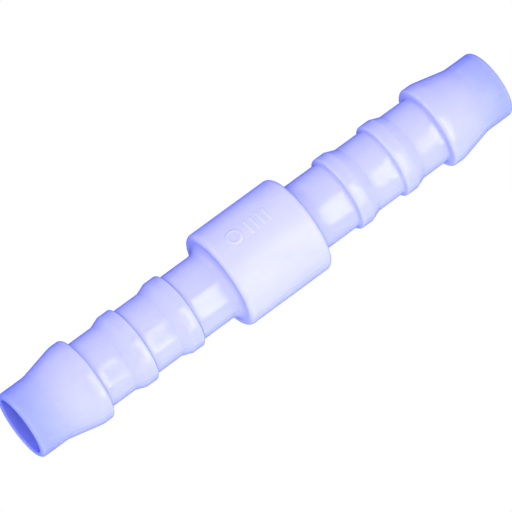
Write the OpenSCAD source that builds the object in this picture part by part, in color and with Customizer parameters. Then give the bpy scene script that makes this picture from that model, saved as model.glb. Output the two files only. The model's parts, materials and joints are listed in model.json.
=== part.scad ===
// Straight barbed hose connector: one moulding with a round centre collar and two equal tails.
// A soft hose is pushed over each tail as far as the collar, and three barbs hold it there.
// The axis is X, the origin is the middle of the collar, and +Z is up with the part on its side.
// The moulding is drawn as named sections that meet face to face, so each can be picked out.

/* [Overall] */
// Length from lip to lip
overall_length = 63.5; // [60:0.5:80]
// Through bore
bore_d = 6.5; // [5:0.1:6.6]

/* [Tails] */
// Plain diameter of the tails, which is the hose's nominal bore
tail_d = 8.0; // [7.85:0.05:8.05]
// Rounding of the lip's outer edge
lip_outer_r = 0.45; // [0.1:0.05:0.5]
// Rounding of the lip's inner edge
lip_inner_r = 0.2; // [0.05:0.05:0.25]

/* [Collar] */
// Diameter of the centre collar
collar_d = 11.5; // [11.5:0.1:14]
// Length of the collar between its two faces
collar_length = 11.0; // [8:0.5:13]
// Rounding of the collar's outer corners
collar_corner_r = 0.6; // [0.1:0.05:0.6]
// Fillet where a tail leaves the collar
root_fillet_r = 1.1; // [0.3:0.05:1.1]

/* [Barbs] */
// Distance from a collar face to the first barb's step
first_step = 5.0; // [3:0.1:5.5]
// Distance from one barb's step to the next
barb_pitch = 6.15; // [4.5:0.05:6.5]
// Diameter over the inner and outer barbs
barb_d = 8.9; // [8.6:0.05:9.6]
// Length of the ramp that leads the hose onto a barb
barb_ramp = 1.2; // [0.6:0.1:2]
// Length of the flat land on a barb
barb_land = 1.4; // [0.8:0.1:2]
// How far a barb's step leans back over its height
step_lean = 0.2; // [0.05:0.05:0.4]
// Rounding of a small barb's two crest edges
barb_edge_r = 0.12; // [0.05:0.01:0.15]

/* [End barbs] */
// Diameter over the larger barb behind the nose
crest_d = 9.8; // [9.2:0.1:10.8]
// Length of its crest, from the step to the start of the flare
crest_land = 1.6; // [1.2:0.1:2.2]
// Length of the long flare that the hose slides up
flare_length = 3.95; // [2.5:0.05:4.5]
// Rounding of the crest's back edge
crest_back_r = 0.35; // [0.1:0.05:0.4]
// Rounding between the crest and the flare
crest_blend_r = 3.0; // [0.5:0.1:3.5]

/* [Raised marks] */
// Height of the moulded marks above the collar
mark_height = 0.1; // [0.05:0.01:0.2]
// Lean of the marks' row from straight up, towards +Y
mark_lean = 10; // [-60:1:60]
// Width of a tick and of the ring's wall
mark_stroke = 0.3; // [0.2:0.05:0.5]
// Length of a tick round the collar, and the ring's outer diameter
mark_size = 1.6; // [1.2:0.1:2.2]
// Distance between neighbouring ticks
tick_pitch = 0.8; // [0.6:0.05:1]
// Number of ticks
tick_count = 4; // [1:1:5]

/* [Hidden] */
$fn = 96;
ARC_STEPS = 6;            // straight pieces in a rounded corner
ROOT_LAND = 0.4;          // plain tail that belongs to the collar section, past the fillet
RING_STATION = -2.6;      // middle of the ring mark, along the axis
FIRST_TICK = -0.6;        // first tick, along the axis
MARK_REACH = 1;           // how far a mark's cutter stands past the shell that it is cut from
plastic = [0.74, 0.76, 1.0];

bore_r = bore_d / 2;
tail_r = tail_d / 2;
collar_r = collar_d / 2;
barb_r = barb_d / 2;
crest_r = crest_d / 2;
end_station = overall_length / 2;
collar_face = collar_length / 2;
tail_start = collar_face + root_fillet_r + ROOT_LAND;
inner_step = collar_face + first_step;
outer_step = inner_step + barb_pitch;
end_step = outer_step + barb_pitch;
flare_start = end_step + crest_land;
nose_start = flare_start + flare_length;

function unit(v) = v / norm(v);

// The arc of radius r that replaces corner b of the path a, b, c
function corner_arc(a, b, c, r) =
    let (
        to_a = unit(a - b),
        to_c = unit(c - b),
        half_angle = acos(to_a * to_c) / 2,
        reach = r / tan(half_angle),
        centre = b + unit(to_a + to_c) * r / sin(half_angle),
        first = b + to_a * reach - centre,
        last = b + to_c * reach - centre
    )
    [for (i = [0:ARC_STEPS]) centre + r * unit(first * (ARC_STEPS - i) + last * i)];

function point(p) = [p[0], p[1]];

// An outline of [radius, station, rounding] corners, with each rounded corner turned into its arc
function rounded(outline) =
    let (n = len(outline))
    [
        for (i = [0:n - 1])
            let (a = outline[(i + n - 1) % n], b = outline[i], c = outline[(i + 1) % n])
            each (b[2] > 0 ? corner_arc(point(a), point(b), point(c), b[2]) : [point(b)])
    ];

// Turns an outline of [radius, station, rounding] corners about the X axis
module turned(outline) {
    color(plastic)
        rotate([0, 90, 0])
            rotate_extrude()
                polygon(rounded(outline));
}

// Draws its children on the left or the right of the collar
module on_side(side) {
    if (side == "left") mirror([1, 0, 0]) children();
    else children();
}

module centre_collar() {
    turned([
        [bore_r, -tail_start, 0],
        [bore_r, tail_start, 0],
        [tail_r, tail_start, 0],
        [tail_r, collar_face, root_fillet_r],
        [collar_r, collar_face, collar_corner_r],
        [collar_r, -collar_face, collar_corner_r],
        [tail_r, -collar_face, root_fillet_r],
        [tail_r, -tail_start, 0]
    ]);
}

// The plain tube from the collar to the end barb, which the two small barbs stand on
module tail(side) {
    on_side(side) turned([
        [bore_r, tail_start, 0],
        [bore_r, end_step, 0],
        [tail_r, end_step, 0],
        [tail_r, tail_start, 0]
    ]);
}

// A small barb round the tail: its step faces the collar and its ramp faces the nose
module barb(side, step) {
    crest_start = step + step_lean;
    ramp_start = crest_start + barb_land;
    on_side(side) turned([
        [tail_r, step, 0],
        [barb_r, crest_start, barb_edge_r],
        [barb_r, ramp_start, barb_edge_r],
        [tail_r, ramp_start + barb_ramp, 0]
    ]);
}

// The larger barb, which is the next stretch of the tube's wall and not a ring round it
module end_barb(side) {
    on_side(side) turned([
        [bore_r, end_step, 0],
        [tail_r, end_step, 0],
        [crest_r, end_step + step_lean, crest_back_r],
        [crest_r, flare_start, crest_blend_r],
        [tail_r, nose_start, 0],
        [bore_r, nose_start, 0]
    ]);
}

// The plain nose with its rounded lip, where the hose is started
module nose(side) {
    on_side(side) turned([
        [bore_r, nose_start, 0],
        [bore_r, end_station, lip_inner_r],
        [tail_r, end_station, lip_outer_r],
        [tail_r, nose_start, 0]
    ]);
}

// One mark's outline, carried straight out from the axis at a station along it
module mark_cutter(station) {
    translate([station, 0, 0])
        linear_extrude(collar_r + mark_height + MARK_REACH)
            children();
}

// A ring and a row of ticks, a tenth of a millimetre proud: cavity marks with no letters
module raised_marks() {
    color(plastic)
        rotate([-mark_lean, 0, 0])
            intersection() {
                rotate([0, 90, 0])
                    difference() {
                        cylinder(h = collar_length, r = collar_r + mark_height, center = true);
                        cylinder(h = collar_length + MARK_REACH, r = collar_r, center = true);
                    }
                union() {
                    mark_cutter(RING_STATION)
                        difference() {
                            circle(d = mark_size);
                            circle(d = mark_size - 2 * mark_stroke);
                        }
                    for (i = [0:tick_count - 1])
                        mark_cutter(FIRST_TICK + i * tick_pitch)
                            square([mark_stroke, mark_size], center = true);
                }
            }
}

centre_collar();
raised_marks();
tail("left");  // left_tail
barb("left", inner_step);  // left_inner_barb
barb("left", outer_step);  // left_outer_barb
end_barb("left");  // left_end_barb
nose("left");  // left_nose
tail("right");  // right_tail
barb("right", inner_step);  // right_inner_barb
barb("right", outer_step);  // right_outer_barb
end_barb("right");  // right_end_barb
nose("right");  // right_nose
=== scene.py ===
"""Straight barbed hose connector: one milky plastic moulding, lying on a plain pale floor.

The moulding is a solid of revolution about X, turned from one outline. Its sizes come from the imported
frame: the boxes of the CAD sections and the record's mounts.
"""

import json
from math import acos, atan2, cos, hypot, pi, radians, sin, tan

import bmesh
import bpy
from mathutils import Matrix, Quaternion, Vector


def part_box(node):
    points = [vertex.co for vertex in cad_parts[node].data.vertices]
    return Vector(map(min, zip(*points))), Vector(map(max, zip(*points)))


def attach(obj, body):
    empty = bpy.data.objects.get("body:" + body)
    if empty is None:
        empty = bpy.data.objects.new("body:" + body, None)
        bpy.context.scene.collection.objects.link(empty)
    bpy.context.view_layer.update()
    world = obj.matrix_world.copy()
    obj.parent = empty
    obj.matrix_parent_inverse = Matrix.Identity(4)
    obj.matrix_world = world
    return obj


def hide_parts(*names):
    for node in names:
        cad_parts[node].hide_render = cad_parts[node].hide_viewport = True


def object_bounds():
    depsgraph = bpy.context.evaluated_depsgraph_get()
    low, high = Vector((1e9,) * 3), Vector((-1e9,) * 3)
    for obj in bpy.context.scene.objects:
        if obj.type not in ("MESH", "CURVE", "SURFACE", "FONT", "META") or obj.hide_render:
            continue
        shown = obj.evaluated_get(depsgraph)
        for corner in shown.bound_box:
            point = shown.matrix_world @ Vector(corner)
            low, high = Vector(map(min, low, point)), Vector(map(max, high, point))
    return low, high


bl_info = {
    "name": "Barbed Hose Connector",
    "version": (1, 0, 0),
    "blender": (4, 5, 0),
    "location": "View3D > Sidebar > Hose Connector",
    "description": "Builds a one-piece barbed hose connector and its plain stage",
    "category": "Add Mesh",
}

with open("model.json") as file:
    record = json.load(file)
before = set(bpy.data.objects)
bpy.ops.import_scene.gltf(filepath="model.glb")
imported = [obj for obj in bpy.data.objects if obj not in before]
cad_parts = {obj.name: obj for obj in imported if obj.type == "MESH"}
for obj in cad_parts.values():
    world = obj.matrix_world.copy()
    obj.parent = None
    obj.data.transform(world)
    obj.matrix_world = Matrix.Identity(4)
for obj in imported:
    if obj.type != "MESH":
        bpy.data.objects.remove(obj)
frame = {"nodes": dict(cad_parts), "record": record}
cad_low, cad_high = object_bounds()

MM = 0.001
MERGE_DISTANCE = 0.001 * MM
# How far a point may lie off the collar's skin and still belong to it.
COLLAR_TOLERANCE = 0.01 * MM
# How far under the tail's skin a point still belongs to the outside.
OUTSIDE_TOLERANCE = 0.05 * MM
# Roundings below these two sizes get fewer segments.
SMALL_ROUNDING = 0.25 * MM
LARGE_ROUNDING = 1.0 * MM
# Where in the noise's range the clouds and the smudges come in, and where they are full.
CLOUD_RANGE = (0.35, 0.75)
SMUDGE_RANGE = (0.3, 0.7)
SENSOR_WIDTH = 36.0

mounts = {mount["name"]: mount for mount in frame["record"]["mounts"]}
collar_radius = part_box("centre_collar")[1].y
tail_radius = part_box("right_tail")[1].y
bore_radius = mounts["through_bore"]["dims"]["r_mm"] * MM
collar_face = mounts["right_hose_tail"]["pos_m"][0]
marks_low, marks_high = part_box("raised_marks")
marks_middle = (marks_low + marks_high) / 2
# The marks' turn about X, from +Z towards +Y.
marks_turn = atan2(marks_middle.y, marks_middle.z)


def length(name, description, default, **options):
    """A length property in metres, shown in the scene's own unit."""
    return bpy.props.FloatProperty(
        name=name, description=description, default=default, min=0.0, precision=5,
        subtype="DISTANCE", unit="LENGTH", **options
    )


def colour(name, description, default):
    """A plain colour property."""
    return bpy.props.FloatVectorProperty(
        name=name, description=description, default=default, size=3, min=0.0, max=1.0, subtype="COLOR"
    )


def number(name, description, default, **options):
    """A plain number property."""
    return bpy.props.FloatProperty(name=name, description=description, default=default, **options)


def count(name, description, default, **options):
    """A whole number property."""
    return bpy.props.IntProperty(name=name, description=description, default=default, **options)


class MouldingSettings(bpy.types.PropertyGroup):
    """Sizes of the moulding that its section boxes don't give."""

    collar_corner: length("Collar corner", "Rounding of the collar's outer corners", 0.6 * MM)
    root_fillet: length("Root fillet", "Fillet where a tail leaves the collar", 1.1 * MM)
    step_lean: length("Step lean", "How far a barb's step leans back over its height", 0.2 * MM)
    ramp: length("Ramp", "Length of a small barb's ramp", 1.2 * MM)
    crest_edge: length("Crest edge", "Rounding of a small barb's two crest edges", 0.22 * MM)
    step_root: length("Step root", "Fillet at the foot of a step or ramp", 0.2 * MM)
    crest_land: length("Crest land", "Length of the end barb's crest, with its step", 1.6 * MM)
    crest_back: length("Crest back", "Rounding of the end barb's back edge", 0.4 * MM)
    flare_blend: length("Flare blend", "Rounding at each end of the flare", 3.0 * MM)
    lip_outer: length("Lip, outside", "Rounding of the lip's outer edge", 0.45 * MM)
    lip_inner: length("Lip, inside", "Rounding of the lip's inner edge", 0.2 * MM)
    mesh_pitch: length("Mesh pitch", "Longest straight piece of the turned outline", 0.8 * MM)
    collar_pitch: length("Collar pitch", "Longest straight piece along the collar", 0.25 * MM)
    turns: count("Turn steps", "Steps in a full turn", 192, min=24)
    parting_height: length("Parting line", "How proud the mould's parting line stands", 0.03 * MM)
    mark_height: length("Mark height", "How proud the moulded marks stand", 0.08 * MM)
    mark_stroke: length("Mark stroke", "Width of a tick and of the ring's wall", 0.3 * MM)
    mark_softness: length("Mark softness", "Width of the slope at a mark's edge", 0.2 * MM)
    mark_margin: length("Mark margin", "Width of the fine mesh round the marks", 0.6 * MM)
    mark_cuts: count("Mark cuts", "Cuts across each face under the marks", 5, min=1)
    tick_pitch: length("Tick pitch", "Distance between neighbouring ticks", 0.8 * MM)
    tick_count: count("Ticks", "Ticks in the row", 4, min=1)


class PlasticSettings(bpy.types.PropertyGroup):
    """Look of the milky plastic."""

    tail_tint: colour("Tail tint", "Colour of the thin-walled tails", (0.63, 0.64, 0.97))
    collar_tint: colour("Collar tint", "Whiter colour of the thick collar", (0.71, 0.71, 0.97))
    collar_blend: length("Collar blend", "Half the length over which collar and tails blend", 1.0 * MM)
    # The ends' darker, bluer colour is painted shade, growing towards the mouths.
    ends_painted_shade: colour("Nose tint", "Bluer colour of the tails' far ends", (0.40, 0.45, 0.97))
    # The bore's deep blue is painted shade that darkens the recess inside the bore. Bore skin and bore fade
    # set how deep into the wall it reaches.
    bore_painted_shade: colour("Bore tint", "Deep colour inside the bore", (0.30, 0.34, 0.84))
    bore_skin: length("Bore skin", "Depth of wall that has the bore's full colour", 0.05 * MM)
    bore_fade: length("Bore fade", "Depth of wall at which the bore's colour has faded out", 0.4 * MM)
    cloud_tint: colour("Cloud tint", "Colour of the faint clouds and streaks", (0.50, 0.52, 0.95))
    cloud_strength: number("Clouds", "How much the clouds show", 0.22, min=0.0, max=1.0)
    cloud_size: length("Cloud size", "Width of a cloud", 3.0 * MM)
    cloud_stretch: number("Cloud stretch", "How many times longer than wide a cloud is", 2.5, min=1.0)
    edge_tint: colour("Edge tint", "What the skin does to light at a glancing angle", (0.82, 0.84, 0.98))
    edge_roughness: number("Edge roughness", "Roughness of the tinting skin", 0.3, min=0.0, max=1.0)
    edge_refraction: number("Edge refraction", "Index of refraction of the tinting skin", 1.01, min=1.0)
    refraction: number("Refraction", "Index of refraction of the plastic", 1.49, min=1.0)
    gloss_low: number("Roughness, low", "Roughness of the tails' glossiest spots", 0.08, min=0.0, max=1.0)
    gloss_high: number("Roughness, high", "Roughness of the tails' dullest spots", 0.16, min=0.0, max=1.0)
    smudge_size: length("Smudge size", "Size of the spots of uneven gloss", 1.5 * MM)
    collar_dullness: number("Collar dullness", "How much rougher the collar is", 0.22, min=0.0, max=1.0)
    scatter_weight: number("Scatter", "Share of light that spreads in the plastic", 1.0, min=0.0, max=1.0)
    scatter_depth: length("Scatter depth", "How far light spreads inside the plastic", 1.0 * MM)
    scatter_reach: colour("Scatter reach", "Share of that depth for red, green and blue", (0.8, 0.85, 1.0))
    peel_size: length("Peel size", "Size of the skin's finest ripples", 0.4 * MM)
    peel_depth: length("Peel depth", "Depth of the skin's finest ripples", 0.003 * MM)
    sink_size: length("Sink size", "Width of the skin's soft dips", 3.0 * MM)
    sink_stretch: number("Sink stretch", "How many times longer than wide a soft dip is", 1.5, min=1.0)
    sink_depth: length("Sink depth", "Depth of the skin's soft dips", 0.03 * MM)


class StageSettings(bpy.types.PropertyGroup):
    """Camera, floor and lights."""

    azimuth: number("Azimuth", "Camera's turn round the part", radians(-38.76), subtype="ANGLE")
    elevation: number("Elevation", "Camera's height above the horizon", radians(65.77), subtype="ANGLE")
    distance: length("Distance", "Camera's distance from the part's middle", 0.5058)
    lens: number("Lens", "Focal length for a 36 mm sensor", 337.6, unit="CAMERA")
    aim_right: length("Aim right", "How far right of the aim the part's middle lies", 0.28 * MM)
    aim_up: length("Aim up", "How far above the aim the part's middle lies", 0.39 * MM)
    floor_size: length("Floor size", "Side of the square floor", 6.0)
    floor_blend: length("Floor blend", "Half the width over which the floor's light changes", 15 * MM)
    floor_strength: number("Floor light", "Brightness of the floor's light", 1.4, min=0.0)
    floor_front: colour("Floor light, front", "Light from the floor on the key side", (0.98, 1.0, 0.9))
    floor_back: colour("Floor light, back", "Light from the floor on the far side", (0.18, 0.21, 0.45))
    key_turn: number("Key turn", "Turn of the key side from -Y towards +X", radians(16), subtype="ANGLE")
    key_lean: number("Key lean", "Softbox's lean from overhead", radians(52), subtype="ANGLE")
    key_distance: length("Key distance", "Distance of the softbox and the rim light", 0.5)
    box_width: length("Softbox width", "Width of the softbox", 0.07)
    box_height: length("Softbox height", "Height of the softbox", 0.67)
    box_radiance: number("Softbox light", "Brightness of the softbox", 5.5, min=0.0)
    rim_turn: number("Rim turn", "Turn of the rim light from +Y towards -X", radians(52), subtype="ANGLE")
    rim_height: number("Rim height", "Rim light's height above the horizon", radians(35), subtype="ANGLE")
    rim_size: length("Rim size", "Side of the square rim light", 0.085)
    rim_radiance: number("Rim light", "Brightness of the rim light", 15.0, min=0.0)
    tent_strength: number("Tent light", "Brightness of the tent", 1.52, min=0.0)
    tent_shade: colour("Tent, far side", "Colour of the tent away from the key", (0.50, 0.48, 0.78))
    tent_left: colour("Tent, left end", "Colour of the tent at the left end", (0.82, 0.80, 0.88))
    tent_lit: colour("Tent, key side", "Colour of the tent on the key side", (0.90, 0.88, 0.74))


# ---------------------------------------------------------------- the moulding


def right_half_corners(sizes):
    """Corners (station, radius, rounding) of the right half's outline, from collar to mouth."""
    corners = [
        (collar_face, collar_radius, sizes.collar_corner),
        (collar_face, tail_radius, sizes.root_fillet),
    ]
    for name in ("right_inner_barb", "right_outer_barb"):
        low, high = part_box(name)
        corners += [
            (low.x, tail_radius, sizes.step_root),
            (low.x + sizes.step_lean, high.y, sizes.crest_edge),
            (high.x - sizes.ramp, high.y, sizes.crest_edge),
            (high.x, tail_radius, sizes.step_root),
        ]
    low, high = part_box("right_end_barb")
    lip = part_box("right_nose")[1].x
    corners += [
        (low.x, tail_radius, sizes.step_root),
        (low.x + sizes.step_lean, high.y, sizes.crest_back),
        (low.x + sizes.crest_land, high.y, sizes.flare_blend),
        (high.x, tail_radius, sizes.flare_blend),
        (lip, tail_radius, sizes.lip_outer),
        (lip, bore_radius, sizes.lip_inner),
    ]
    return corners


def arc_segments(rounding):
    """Segments for a rounded corner: finer steps on larger roundings."""
    if rounding < SMALL_ROUNDING:
        return 4
    if rounding < LARGE_ROUNDING:
        return 8
    return 10


def turned_outline(bm, sizes):
    """The closed outline of the whole moulding as a loop of edges in the XZ plane, its corners rounded."""
    half = right_half_corners(sizes)
    corners = half + [(-x, radius, rounding) for x, radius, rounding in reversed(half)]
    points = [Vector((x, 0.0, radius)) for x, radius, _ in corners]
    verts = [bm.verts.new(point) for point in points]
    bm.faces.new(verts)
    for i, (vert, (_, _, rounding)) in enumerate(zip(verts, corners)):
        before = (points[i - 1] - points[i]).normalized()
        after = (points[(i + 1) % len(points)] - points[i]).normalized()
        reach = rounding / tan(acos(before.dot(after)) / 2)
        bmesh.ops.bevel(
            bm, geom=[vert], offset=reach, offset_type="OFFSET", segments=arc_segments(rounding),
            profile=0.5, affect="VERTICES", material=-1, clamp_overlap=True,
        )
    bmesh.ops.delete(bm, geom=list(bm.faces), context="FACES_ONLY")
    for edge in list(bm.edges):
        on_collar = all(abs(vert.co.z - collar_radius) < COLLAR_TOLERANCE for vert in edge.verts)
        pitch = sizes.collar_pitch if on_collar else sizes.mesh_pitch
        cuts = int(edge.calc_length() / pitch)
        if cuts:
            bmesh.ops.subdivide_edges(bm, edges=[edge], cuts=cuts)


def turn_from(point, turn):
    """A point's turn about X from the given turn, between half a turn back and half a turn on."""
    offset = atan2(point.y, point.z) - turn
    return atan2(sin(offset), cos(offset))


def mark_distance(sizes, half_length, x, y):
    """Distance from the nearest mark's outline, negative inside it, with y measured round the collar."""
    ring_radius = half_length - sizes.mark_stroke / 2
    ring = abs(hypot(x - marks_low.x - half_length, y) - ring_radius)
    strokes = [ring]
    for i in range(sizes.tick_count):
        middle = marks_high.x - sizes.mark_stroke / 2 - i * sizes.tick_pitch
        strokes.append(hypot(x - middle, max(abs(y) - ring_radius, 0.0)))
    return min(strokes) - sizes.mark_stroke / 2


def raise_marks(bm, sizes):
    """Refines the collar's skin round the marks and lifts them out of it with soft edges."""
    half_length = marks_high.y / cos(marks_turn) / 2
    margin = sizes.mark_margin

    def round_distance(point):
        """Distance round the collar from the marks' middle line."""
        return turn_from(point, marks_turn) * collar_radius

    def in_patch(point):
        """Whether a point is on the collar's skin, near the marks."""
        on_skin = abs(hypot(point.y, point.z) - collar_radius) < COLLAR_TOLERANCE
        along = marks_low.x - margin < point.x < marks_high.x + margin
        return on_skin and along and abs(round_distance(point)) < half_length + margin

    faces = [face for face in bm.faces if all(in_patch(vert.co) for vert in face.verts)]
    edges = list(dict.fromkeys(edge for face in faces for edge in face.edges))
    bmesh.ops.subdivide_edges(bm, edges=edges, cuts=sizes.mark_cuts, use_grid_fill=True)
    for vert in [vert for vert in bm.verts if in_patch(vert.co)]:
        distance = mark_distance(sizes, half_length, vert.co.x, round_distance(vert.co))
        share = min(max(0.5 - distance / sizes.mark_softness, 0.0), 1.0)
        lift = sizes.mark_height * share * share * (3 - 2 * share)
        scale = (collar_radius + lift) / hypot(vert.co.y, vert.co.z)
        vert.co.yz = vert.co.yz * scale


def raise_parting_lines(bm, sizes):
    """Lifts a row of points a quarter turn to each side of the marks, where the mould's halves met."""
    half_step = pi / sizes.turns
    for side in (marks_turn - pi / 2, marks_turn + pi / 2):
        for vert in bm.verts:
            radius = hypot(vert.co.y, vert.co.z)
            outside = radius > tail_radius - OUTSIDE_TOLERANCE
            if outside and abs(turn_from(vert.co, side)) < half_step:
                vert.co.yz = vert.co.yz * (1 + sizes.parting_height / radius)


def moulding_mesh(sizes):
    """The moulding's mesh: the outline turned through a full circle about X, with its fine relief raised."""
    bm = bmesh.new()
    turned_outline(bm, sizes)
    bmesh.ops.spin(
        bm, geom=list(bm.verts) + list(bm.edges), cent=(0, 0, 0), axis=(1, 0, 0), dvec=(0, 0, 0),
        angle=2 * pi, steps=sizes.turns, use_merge=True, use_duplicate=False,
    )
    bmesh.ops.remove_doubles(bm, verts=list(bm.verts), dist=MERGE_DISTANCE)
    raise_parting_lines(bm, sizes)
    raise_marks(bm, sizes)
    bmesh.ops.recalc_face_normals(bm, faces=list(bm.faces))
    mesh = bpy.data.meshes.new("connector_moulding")
    bm.to_mesh(mesh)
    bm.free()
    for polygon in mesh.polygons:
        polygon.use_smooth = True
    return mesh


# ---------------------------------------------------------------- materials


def new_material(name):
    """An empty node material with its output node."""
    material = bpy.data.materials.new(name)
    material.use_nodes = True
    material.node_tree.nodes.clear()
    output = material.node_tree.nodes.new("ShaderNodeOutputMaterial")
    return material, material.node_tree, output


def ramp(tree, value, start, ends_shade_share, low=0.0, high=1.0):
    """A number that goes smoothly from low to high as the value goes from start to end."""
    node = tree.nodes.new("ShaderNodeMapRange")
    node.interpolation_type = "SMOOTHSTEP"
    tree.links.new(value, node.inputs["Value"])
    for name, limit in (("From Min", start), ("From Max", ends_shade_share), ("To Min", low), ("To Max", high)):
        node.inputs[name].default_value = limit
    return node.outputs["Result"]


def blend(tree, factor, first, second):
    """A colour that goes from the first to the second as the factor goes from 0 to 1."""
    node = tree.nodes.new("ShaderNodeMix")
    node.data_type = "RGBA"
    tree.links.new(factor, node.inputs[0])
    for socket, source in ((node.inputs[6], first), (node.inputs[7], second)):
        if isinstance(source, bpy.types.NodeSocket):
            tree.links.new(source, socket)
        else:
            socket.default_value = (*source, 1)
    return node.outputs[2]


def noise(tree, place, size, detail, stretch=1.0):
    """Soft noise whose blotches have the given width and are stretched along the moulding."""
    mapping = tree.nodes.new("ShaderNodeMapping")
    mapping.inputs["Scale"].default_value = (1 / size / stretch, 1 / size, 1 / size)
    node = tree.nodes.new("ShaderNodeTexNoise")
    node.inputs["Scale"].default_value = 1
    node.inputs["Detail"].default_value = detail
    tree.links.new(place, mapping.inputs["Vector"])
    tree.links.new(mapping.outputs["Vector"], node.inputs["Vector"])
    return node.outputs["Fac"]


def distance_from(tree, place, along):
    """How far a place is from the moulding's middle, along its axis or away from it."""
    flat = tree.nodes.new("ShaderNodeVectorMath")
    flat.operation = "MULTIPLY"
    flat.inputs[1].default_value = (1, 0, 0) if along else (0, 1, 1)
    size = tree.nodes.new("ShaderNodeVectorMath")
    size.operation = "LENGTH"
    tree.links.new(place, flat.inputs[0])
    tree.links.new(flat.outputs["Vector"], size.inputs[0])
    return size.outputs["Value"]


def bump(tree, height, depth, under=None):
    """A normal that follows the height, on top of another bump's normal."""
    node = tree.nodes.new("ShaderNodeBump")
    node.inputs["Distance"].default_value = depth
    tree.links.new(height, node.inputs["Height"])
    if under:
        tree.links.new(under, node.inputs["Normal"])
    return node.outputs["Normal"]


def collar_share(tree, place, look, high=1.0):
    """A number that is nought on the tails and reaches its high value on the collar."""
    along = distance_from(tree, place, along=True)
    return ramp(tree, along, collar_face + look.collar_blend, collar_face - look.collar_blend, high=high)


def colour_and_painted_shade(tree, place, look):
    """The plastic's colour, whiter in the thick collar, with painted shade that makes it bluer at the ends
    and deep blue inside the bore.
    """
    along = distance_from(tree, place, along=True)
    away = distance_from(tree, place, along=False)
    thick = collar_share(tree, place, look)
    flare_low, flare_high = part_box("right_end_barb")
    # Painted shade: darker and bluer from the end barb's flare out to the mouth.
    ends_shade_share = ramp(tree, along, (flare_low.x + flare_high.x) / 2, cad_high.x)
    # Painted shade: deep blue on the bore's wall, fading out across its inner skin.
    bore_shade_share = ramp(tree, away, bore_radius + look.bore_fade, bore_radius + look.bore_skin)
    streaks = noise(tree, place, look.cloud_size, detail=3, stretch=look.cloud_stretch)
    clouds = ramp(tree, streaks, *CLOUD_RANGE, high=look.cloud_strength)
    tint = blend(tree, thick, look.tail_tint, look.collar_tint)
    tint = blend(tree, ends_shade_share, tint, look.ends_painted_shade)
    tint = blend(tree, clouds, tint, look.cloud_tint)
    return blend(tree, bore_shade_share, tint, look.bore_painted_shade)


def milky_plastic(look):
    """Milky translucent plastic with a soft moulded skin, faintly clouded and rippled."""
    material, tree, output = new_material("milky_moulding")
    shader = tree.nodes.new("ShaderNodeBsdfPrincipled")
    place = tree.nodes.new("ShaderNodeTexCoord").outputs["Object"]
    tree.links.new(colour_and_painted_shade(tree, place, look), shader.inputs["Base Color"])
    dullness = tree.nodes.new("ShaderNodeMath")
    spots = noise(tree, place, look.smudge_size, detail=4)
    smudges = ramp(tree, spots, *SMUDGE_RANGE, look.gloss_low, look.gloss_high)
    tree.links.new(smudges, dullness.inputs[0])
    tree.links.new(collar_share(tree, place, look, look.collar_dullness), dullness.inputs[1])
    tree.links.new(dullness.outputs["Value"], shader.inputs["Roughness"])
    dips = noise(tree, place, look.sink_size, detail=1, stretch=look.sink_stretch)
    ripples = noise(tree, place, look.peel_size, detail=2)
    sinks = bump(tree, dips, look.sink_depth)
    peel = bump(tree, ripples, look.peel_depth, under=sinks)
    tree.links.new(peel, shader.inputs["Normal"])
    shader.inputs["IOR"].default_value = look.refraction
    shader.inputs["Subsurface Weight"].default_value = look.scatter_weight
    shader.inputs["Subsurface Radius"].default_value = look.scatter_reach
    shader.inputs["Subsurface Scale"].default_value = look.scatter_depth
    shader.inputs["Coat Weight"].default_value = 1.0
    shader.inputs["Coat Roughness"].default_value = look.edge_roughness
    shader.inputs["Coat IOR"].default_value = look.edge_refraction
    shader.inputs["Coat Tint"].default_value = (*look.edge_tint, 1)
    tree.links.new(shader.outputs[0], output.inputs["Surface"])
    return material


def seen_or_felt(tree, seen, felt, output):
    """Shows one shader to the camera while the part is lit by the other."""
    path = tree.nodes.new("ShaderNodeLightPath")
    mix = tree.nodes.new("ShaderNodeMixShader")
    tree.links.new(path.outputs["Is Camera Ray"], mix.inputs[0])
    tree.links.new(felt.outputs[0], mix.inputs[1])
    tree.links.new(seen.outputs[0], mix.inputs[2])
    tree.links.new(mix.outputs[0], output.inputs["Surface"])


def floor_material(stage):
    """A plain white floor, which lights the part from below more in front of it than behind it."""
    material, tree, output = new_material("pale_floor")
    seen = tree.nodes.new("ShaderNodeEmission")
    seen.inputs["Color"].default_value = (1, 1, 1, 1)
    place = tree.nodes.new("ShaderNodeTexCoord").outputs["Object"]
    split = tree.nodes.new("ShaderNodeSeparateXYZ")
    tree.links.new(place, split.inputs[0])
    behind = ramp(tree, split.outputs["Y"], -stage.floor_blend, stage.floor_blend)
    felt = tree.nodes.new("ShaderNodeEmission")
    tree.links.new(blend(tree, behind, stage.floor_front, stage.floor_back), felt.inputs["Color"])
    felt.inputs["Strength"].default_value = stage.floor_strength
    seen_or_felt(tree, seen, felt, output)
    return material


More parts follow.
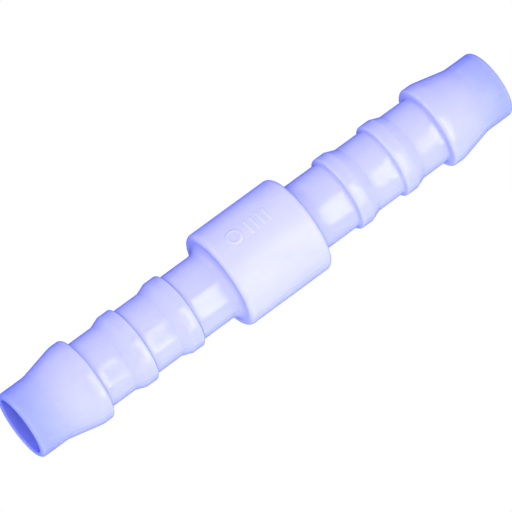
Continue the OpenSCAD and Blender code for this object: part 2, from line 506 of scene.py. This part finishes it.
def tent(stage):
    """A light tent as the world: bright on the key side and at the left end, a cool shade on the far side."""
    world = bpy.data.worlds.new("tent")
    world.use_nodes = True
    tree = world.node_tree
    place = tree.nodes.new("ShaderNodeTexCoord").outputs["Generated"]
    facing = tree.nodes.new("ShaderNodeVectorMath")
    facing.operation = "DOT_PRODUCT"
    facing.inputs[1].default_value = (sin(stage.key_turn), -cos(stage.key_turn), 0)
    tree.links.new(place, facing.inputs[0])
    lit = tree.nodes.new("ShaderNodeMapRange")
    lit.inputs["From Min"].default_value = -1
    tree.links.new(facing.outputs["Value"], lit.inputs["Value"])
    split = tree.nodes.new("ShaderNodeSeparateXYZ")
    tree.links.new(place, split.inputs[0])
    left = ramp(tree, split.outputs["X"], 0.0, -1.0)
    sides = blend(tree, lit.outputs["Result"], stage.tent_shade, stage.tent_lit)
    background = tree.nodes["Background"]
    tree.links.new(blend(tree, left, sides, stage.tent_left), background.inputs["Color"])
    background.inputs["Strength"].default_value = stage.tent_strength
    backdrop = tree.nodes.new("ShaderNodeBackground")
    backdrop.inputs["Color"].default_value = (1, 1, 1, 1)
    seen_or_felt(tree, backdrop, background, tree.nodes["World Output"])
    return world


# ---------------------------------------------------------------- operators


class HOSECONNECTOR_OT_moulding(bpy.types.Operator):
    """Turn the one-piece connector and give it its milky plastic"""

    bl_idname = "hose_connector.moulding"
    bl_label = "Moulding"

    def execute(self, context):
        sizes = context.scene.hose_connector_moulding
        piece = bpy.data.objects.new("connector_moulding", moulding_mesh(sizes))
        context.scene.collection.objects.link(piece)
        piece.data.materials.append(milky_plastic(context.scene.hose_connector_plastic))
        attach(piece, "root")
        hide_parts(*sorted(frame["nodes"]))
        return {"FINISHED"}


class HOSECONNECTOR_OT_stage(bpy.types.Operator):
    """Lay the floor, hang the lights and set up the camera"""

    bl_idname = "hose_connector.stage"
    bl_label = "Stage"

    def execute(self, context):
        scene = context.scene
        stage = scene.hose_connector_stage
        self.floor(scene, stage)
        self.lights(scene, stage)
        self.camera(scene, stage)
        scene.view_settings.view_transform = "Standard"
        return {"FINISHED"}

    def floor(self, scene, stage):
        """Lays a square floor under the part."""
        bm = bmesh.new()
        bmesh.ops.create_grid(bm, x_segments=1, y_segments=1, size=stage.floor_size / 2)
        bmesh.ops.translate(bm, vec=(0, 0, cad_low.z), verts=list(bm.verts))
        mesh = bpy.data.meshes.new("floor")
        bm.to_mesh(mesh)
        bm.free()
        mesh.materials.append(floor_material(stage))
        floor = bpy.data.objects.new("floor", mesh)
        scene.collection.objects.link(floor)

    def lights(self, scene, stage):
        """Hangs the softbox, the rim light and the tent."""
        key = Quaternion((1, 0, 0), stage.key_lean) @ Quaternion((0, 1, 0), stage.key_turn)
        rim = Quaternion((0, 0, 1), stage.rim_turn) @ Quaternion((-1, 0, 0), pi / 2 - stage.rim_height)
        box_size = (stage.box_width, stage.box_height)
        rim_size = (stage.rim_size, stage.rim_size)
        self.area_light(scene, "softbox", key, stage.key_distance, box_size, stage.box_radiance)
        self.area_light(scene, "rim_light", rim, stage.key_distance, rim_size, stage.rim_radiance)
        scene.world = tent(stage)

    def area_light(self, scene, name, turn, distance, size, radiance):
        """Hangs an area light at a distance from the part, along the turned Z axis, facing the part."""
        data = bpy.data.lights.new(name, "AREA")
        data.shape = "RECTANGLE"
        data.size, data.size_y = size
        data.energy = radiance * pi * data.size * data.size_y
        light = bpy.data.objects.new(name, data)
        light.rotation_mode = "QUATERNION"
        light.rotation_quaternion = turn
        light.location = turn @ Vector((0, 0, distance))
        scene.collection.objects.link(light)

    def camera(self, scene, stage):
        """Aims the camera at the part from its azimuth and elevation."""
        data = bpy.data.cameras.new("camera")
        data.lens = stage.lens
        data.sensor_width = SENSOR_WIDTH
        camera = bpy.data.objects.new("camera", data)
        azimuth = stage.azimuth
        elevation = stage.elevation
        back = Vector((sin(azimuth) * cos(elevation), -cos(azimuth) * cos(elevation), sin(elevation)))
        right = Vector((cos(azimuth), sin(azimuth), 0.0))
        up = back.cross(right)
        camera.location = back * stage.distance - right * stage.aim_right - up * stage.aim_up
        camera.rotation_mode = "QUATERNION"
        camera.rotation_quaternion = Matrix((right, up, back)).transposed().to_quaternion()
        scene.collection.objects.link(camera)
        scene.camera = camera


class HOSECONNECTOR_PT_panel(bpy.types.Panel):
    """Lists the connector's operators and sizes"""

    bl_idname = "HOSECONNECTOR_PT_panel"
    bl_label = "Hose Connector"
    bl_space_type = "VIEW_3D"
    bl_region_type = "UI"
    bl_category = "Hose Connector"

    def draw(self, context):
        """Draws a box for each operator, with the settings that it reads."""
        for operator, groups in STEPS:
            box = self.layout.box()
            box.operator(operator.bl_idname)
            for group in groups:
                settings = getattr(context.scene, group)
                for name in type(settings).__annotations__:
                    box.prop(settings, name)


GROUPS = {
    "hose_connector_moulding": MouldingSettings,
    "hose_connector_plastic": PlasticSettings,
    "hose_connector_stage": StageSettings,
}
STEPS = (
    (HOSECONNECTOR_OT_moulding, ("hose_connector_moulding", "hose_connector_plastic")),
    (HOSECONNECTOR_OT_stage, ("hose_connector_stage",)),
)
CLASSES = (*GROUPS.values(), HOSECONNECTOR_OT_moulding, HOSECONNECTOR_OT_stage, HOSECONNECTOR_PT_panel)


def register():
    """Registers the classes and hangs their settings on the scene."""
    for cls in CLASSES:
        bpy.utils.register_class(cls)
    for name, group in GROUPS.items():
        setattr(bpy.types.Scene, name, bpy.props.PointerProperty(type=group))


def unregister():
    """Takes the settings off the scene and unregisters the classes."""
    for name in GROUPS:
        delattr(bpy.types.Scene, name)
    for cls in reversed(CLASSES):
        bpy.utils.unregister_class(cls)


def main():
    """Registers the classes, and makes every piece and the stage."""
    register()
    bpy.ops.hose_connector.moulding()
    bpy.ops.hose_connector.stage()


if __name__ == "__main__":
    main()
